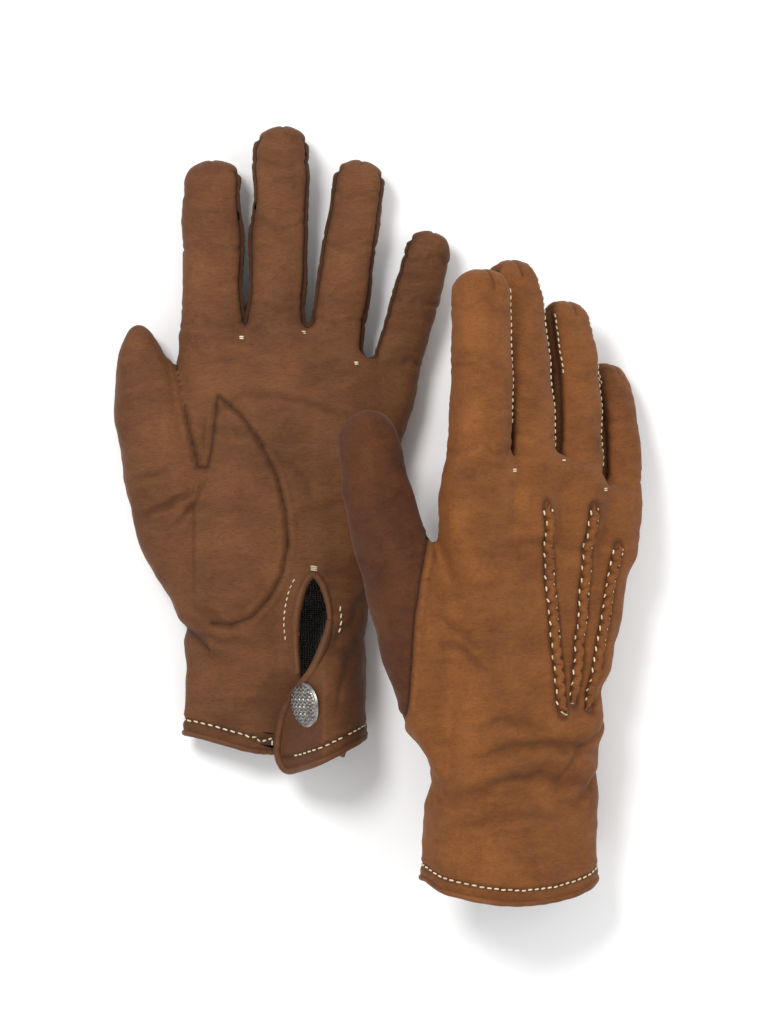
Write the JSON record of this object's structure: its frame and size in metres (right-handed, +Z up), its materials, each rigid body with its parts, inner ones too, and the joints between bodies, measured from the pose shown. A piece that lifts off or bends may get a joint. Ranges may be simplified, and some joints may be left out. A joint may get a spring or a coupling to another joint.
{
  "type": "leather gloves",
  "caption": "Pair of short leather driving gloves with set-in thumbs, stitched points on the backs, turned hems and snapped wrist vents, lying one palm up and one back up.",
  "frame": {"origin": "on the table, under the middle of the pair's bounding box", "axes": "+Y towards the fingertips, +X from the left glove to the right glove, +Z up"},
  "size_m": [0.2051, 0.2986, 0.0814],
  "materials": {
    "left_leather": "matt nubuck",
    "left_side_leather": "matt nubuck",
    "left_trim_leather": "matt nubuck",
    "right_leather": "matt nubuck",
    "right_side_leather": "matt nubuck",
    "right_trim_leather": "matt nubuck",
    "cap_metal": "aged, roped pattern",
    "snap_metal": "satin",
    "lining": "fine knit",
    "thread": "twisted thread"
  },
  "bodies": {
    "left_hand": {"left_trank_hand": "left_leather", "left_thumb_base": "left_leather", "left_thumb_quirk": "left_side_leather", "left_hem_band": "left_trim_leather", "left_vent_binding": "left_trim_leather", "left_snap_stud": "snap_metal", "left_snap_post": "snap_metal", "left_lining_hand": "lining", "left_point_stitching": "thread", "left_hem_stitching": "thread", "left_vent_stitching": "thread"},
    "left_fingers": {"left_trank_fingers": "left_leather", "left_fourchette_index_middle": "left_side_leather", "left_fourchette_middle_ring": "left_side_leather", "left_fourchette_ring_little": "left_side_leather", "left_lining_fingers": "lining", "left_finger_stitching": "thread"},
    "left_thumb": {"left_thumb": "left_leather", "left_lining_thumb": "lining"},
    "left_flap": {"left_vent_flap": "left_leather", "left_flap_binding": "left_trim_leather", "left_snap_cap": "cap_metal", "left_snap_socket": "snap_metal"},
    "right_hand": {"right_trank_hand": "right_leather", "right_thumb_base": "right_leather", "right_thumb_quirk": "right_side_leather", "right_hem_band": "right_trim_leather", "right_vent_binding": "right_trim_leather", "right_snap_stud": "snap_metal", "right_snap_post": "snap_metal", "right_lining_hand": "lining", "right_point_stitching": "thread", "right_hem_stitching": "thread", "right_vent_stitching": "thread"},
    "right_fingers": {"right_trank_fingers": "right_leather", "right_fourchette_index_middle": "right_side_leather", "right_fourchette_middle_ring": "right_side_leather", "right_fourchette_ring_little": "right_side_leather", "right_lining_fingers": "lining", "right_finger_stitching": "thread"},
    "right_thumb": {"right_thumb": "right_leather", "right_lining_thumb": "lining"},
    "right_flap": {"right_vent_flap": "right_leather", "right_flap_binding": "right_trim_leather", "right_snap_cap": "cap_metal", "right_snap_socket": "snap_metal"}
  },
  "joints": [
    {"name": "left_finger_fold", "type": "hinge", "parent": "left_hand", "child": "left_fingers", "pos_m": [-0.0322, 0.04563, 0.0276], "axis": [0.969, -0.2469, 0], "range_deg": [0, 60]},
    {"name": "left_thumb_fold", "type": "hinge", "parent": "left_hand", "child": "left_thumb", "pos_m": [-0.0682, -0.0083, 0.028], "axis": [0, 1, 0], "range_deg": [0, 50]},
    {"name": "left_flap_open", "type": "hinge", "parent": "left_hand", "child": "left_flap", "pos_m": [-0.0162, -0.0733, 0.0402], "axis": [0, 1, 0], "range_deg": [0, 100]},
    {"name": "right_glove_lift", "type": "slide", "parent": "left_hand", "child": "right_hand", "axis": [0, 0, 1], "range_m": [0, 0.12]},
    {"name": "right_finger_fold", "type": "hinge", "parent": "right_hand", "child": "right_fingers", "pos_m": [0.06864, -0.0048, 0.05815], "axis": [0.7938, -0.1875, -0.5786], "range_deg": [0, 35]},
    {"name": "right_thumb_fold", "type": "hinge", "parent": "right_hand", "child": "right_thumb", "pos_m": [0.03829, -0.06046, 0.07183], "axis": [0, 0.9945, 0.1045], "range_deg": [0, 30]},
    {"name": "right_flap_open", "type": "hinge", "parent": "right_hand", "child": "right_flap", "pos_m": [0.05886, -0.1187, 0.00409], "axis": [0, -0.9945, -0.1045], "range_deg": [0, 100]}
  ]
}
